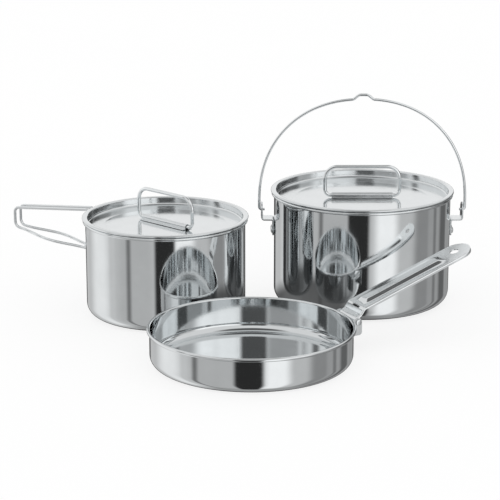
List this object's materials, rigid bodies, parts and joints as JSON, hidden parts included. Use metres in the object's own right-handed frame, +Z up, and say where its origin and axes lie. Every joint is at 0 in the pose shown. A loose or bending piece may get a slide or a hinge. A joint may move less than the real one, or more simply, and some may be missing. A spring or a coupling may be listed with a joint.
{
  "type": "camping cooking pot set",
  "caption": "Stainless steel camping cook set: a lidded pot hung on a wire bail, a lidded pot with folding wire grips, and a frying pan with a folding handle.",
  "frame": {"origin": "centre of the large pot's base, on the ground", "axes": "+Z up, +X to the right and -Y to the front as in the picture: the small pot stands on the -X side and the pan in front"},
  "size_m": [0.4514, 0.3851, 0.207],
  "materials": {
    "wall": "bright polished stainless steel with a faint turned grain",
    "lid": "bright polished stainless steel",
    "strap": "tumbled stainless strip",
    "wire": "bright drawn stainless wire",
    "handle": "satin pressed stainless sheet"
  },
  "bodies": {
    "large_pot": {"large_pot_body": "wall", "bail_ear_left": "strap", "bail_ear_right": "strap", "ear_rivet_left_front": "strap", "ear_rivet_left_back": "strap", "ear_rivet_right_front": "strap", "ear_rivet_right_back": "strap"},
    "bail": {"bail": "wire"},
    "large_lid": {"large_lid_plate": "lid", "large_lid_keeper": "strap"},
    "large_loop": {"large_lid_loop": "wire"},
    "small_pot": {"small_pot_body": "wall", "grip_bracket": "strap", "bracket_rivet_lower": "strap", "bracket_rivet_upper": "strap"},
    "grip_front": {"wire_grip_front": "wire"},
    "grip_back": {"wire_grip_back": "wire"},
    "small_lid": {"small_lid_plate": "lid", "small_lid_keeper": "strap"},
    "small_loop": {"small_lid_loop": "wire"},
    "pan": {"pan_body": "wall", "pan_bracket": "strap", "pan_hinge_pin": "strap"},
    "handle": {"pan_handle": "handle"}
  },
  "joints": [
    {"name": "bail_swing", "type": "hinge", "parent": "large_pot", "child": "bail", "pos_m": [0, 0, 0.091], "axis": [1, 0, 0], "range_deg": [-122, 122]},
    {"name": "large_lid_lift", "type": "slide", "parent": "large_pot", "child": "large_lid", "axis": [0, 0, 1], "range_m": [0, 0.02]},
    {"name": "large_loop_fold", "type": "hinge", "parent": "large_lid", "child": "large_loop", "pos_m": [0, 0, 0.1054], "axis": [1, 0, 0], "range_deg": [-90, 90]},
    {"name": "small_pot_lift", "type": "slide", "parent": "large_pot", "child": "small_pot", "axis": [0, 0, 1], "range_m": [0, 0.15]},
    {"name": "grip_front_fold", "type": "hinge", "parent": "small_pot", "child": "grip_front", "pos_m": [-0.26949, -0.01122, 0.0734], "axis": [0, 0, 1], "range_deg": [0, 100]},
    {"name": "grip_back_fold", "type": "hinge", "parent": "small_pot", "child": "grip_back", "pos_m": [-0.26495, -0.00231, 0.0734], "axis": [0, 0, -1], "range_deg": [0, 100]},
    {"name": "small_lid_lift", "type": "slide", "parent": "small_pot", "child": "small_lid", "axis": [0, 0, 1], "range_m": [0, 0.1]},
    {"name": "small_loop_fold", "type": "hinge", "parent": "small_lid", "child": "small_loop", "pos_m": [-0.19256, -0.04481, 0.0896], "axis": [0.7254, -0.6884, 0], "range_deg": [-90, 90]},
    {"name": "pan_lift", "type": "slide", "parent": "large_pot", "child": "pan", "axis": [0, 0, 1], "range_m": [0, 0.15]},
    {"name": "pan_handle_fold", "type": "hinge", "parent": "pan", "child": "handle", "pos_m": [-0.01959, -0.15507, 0.027], "axis": [0.454, -0.891, 0], "range_deg": [0, 70]}
  ]
}
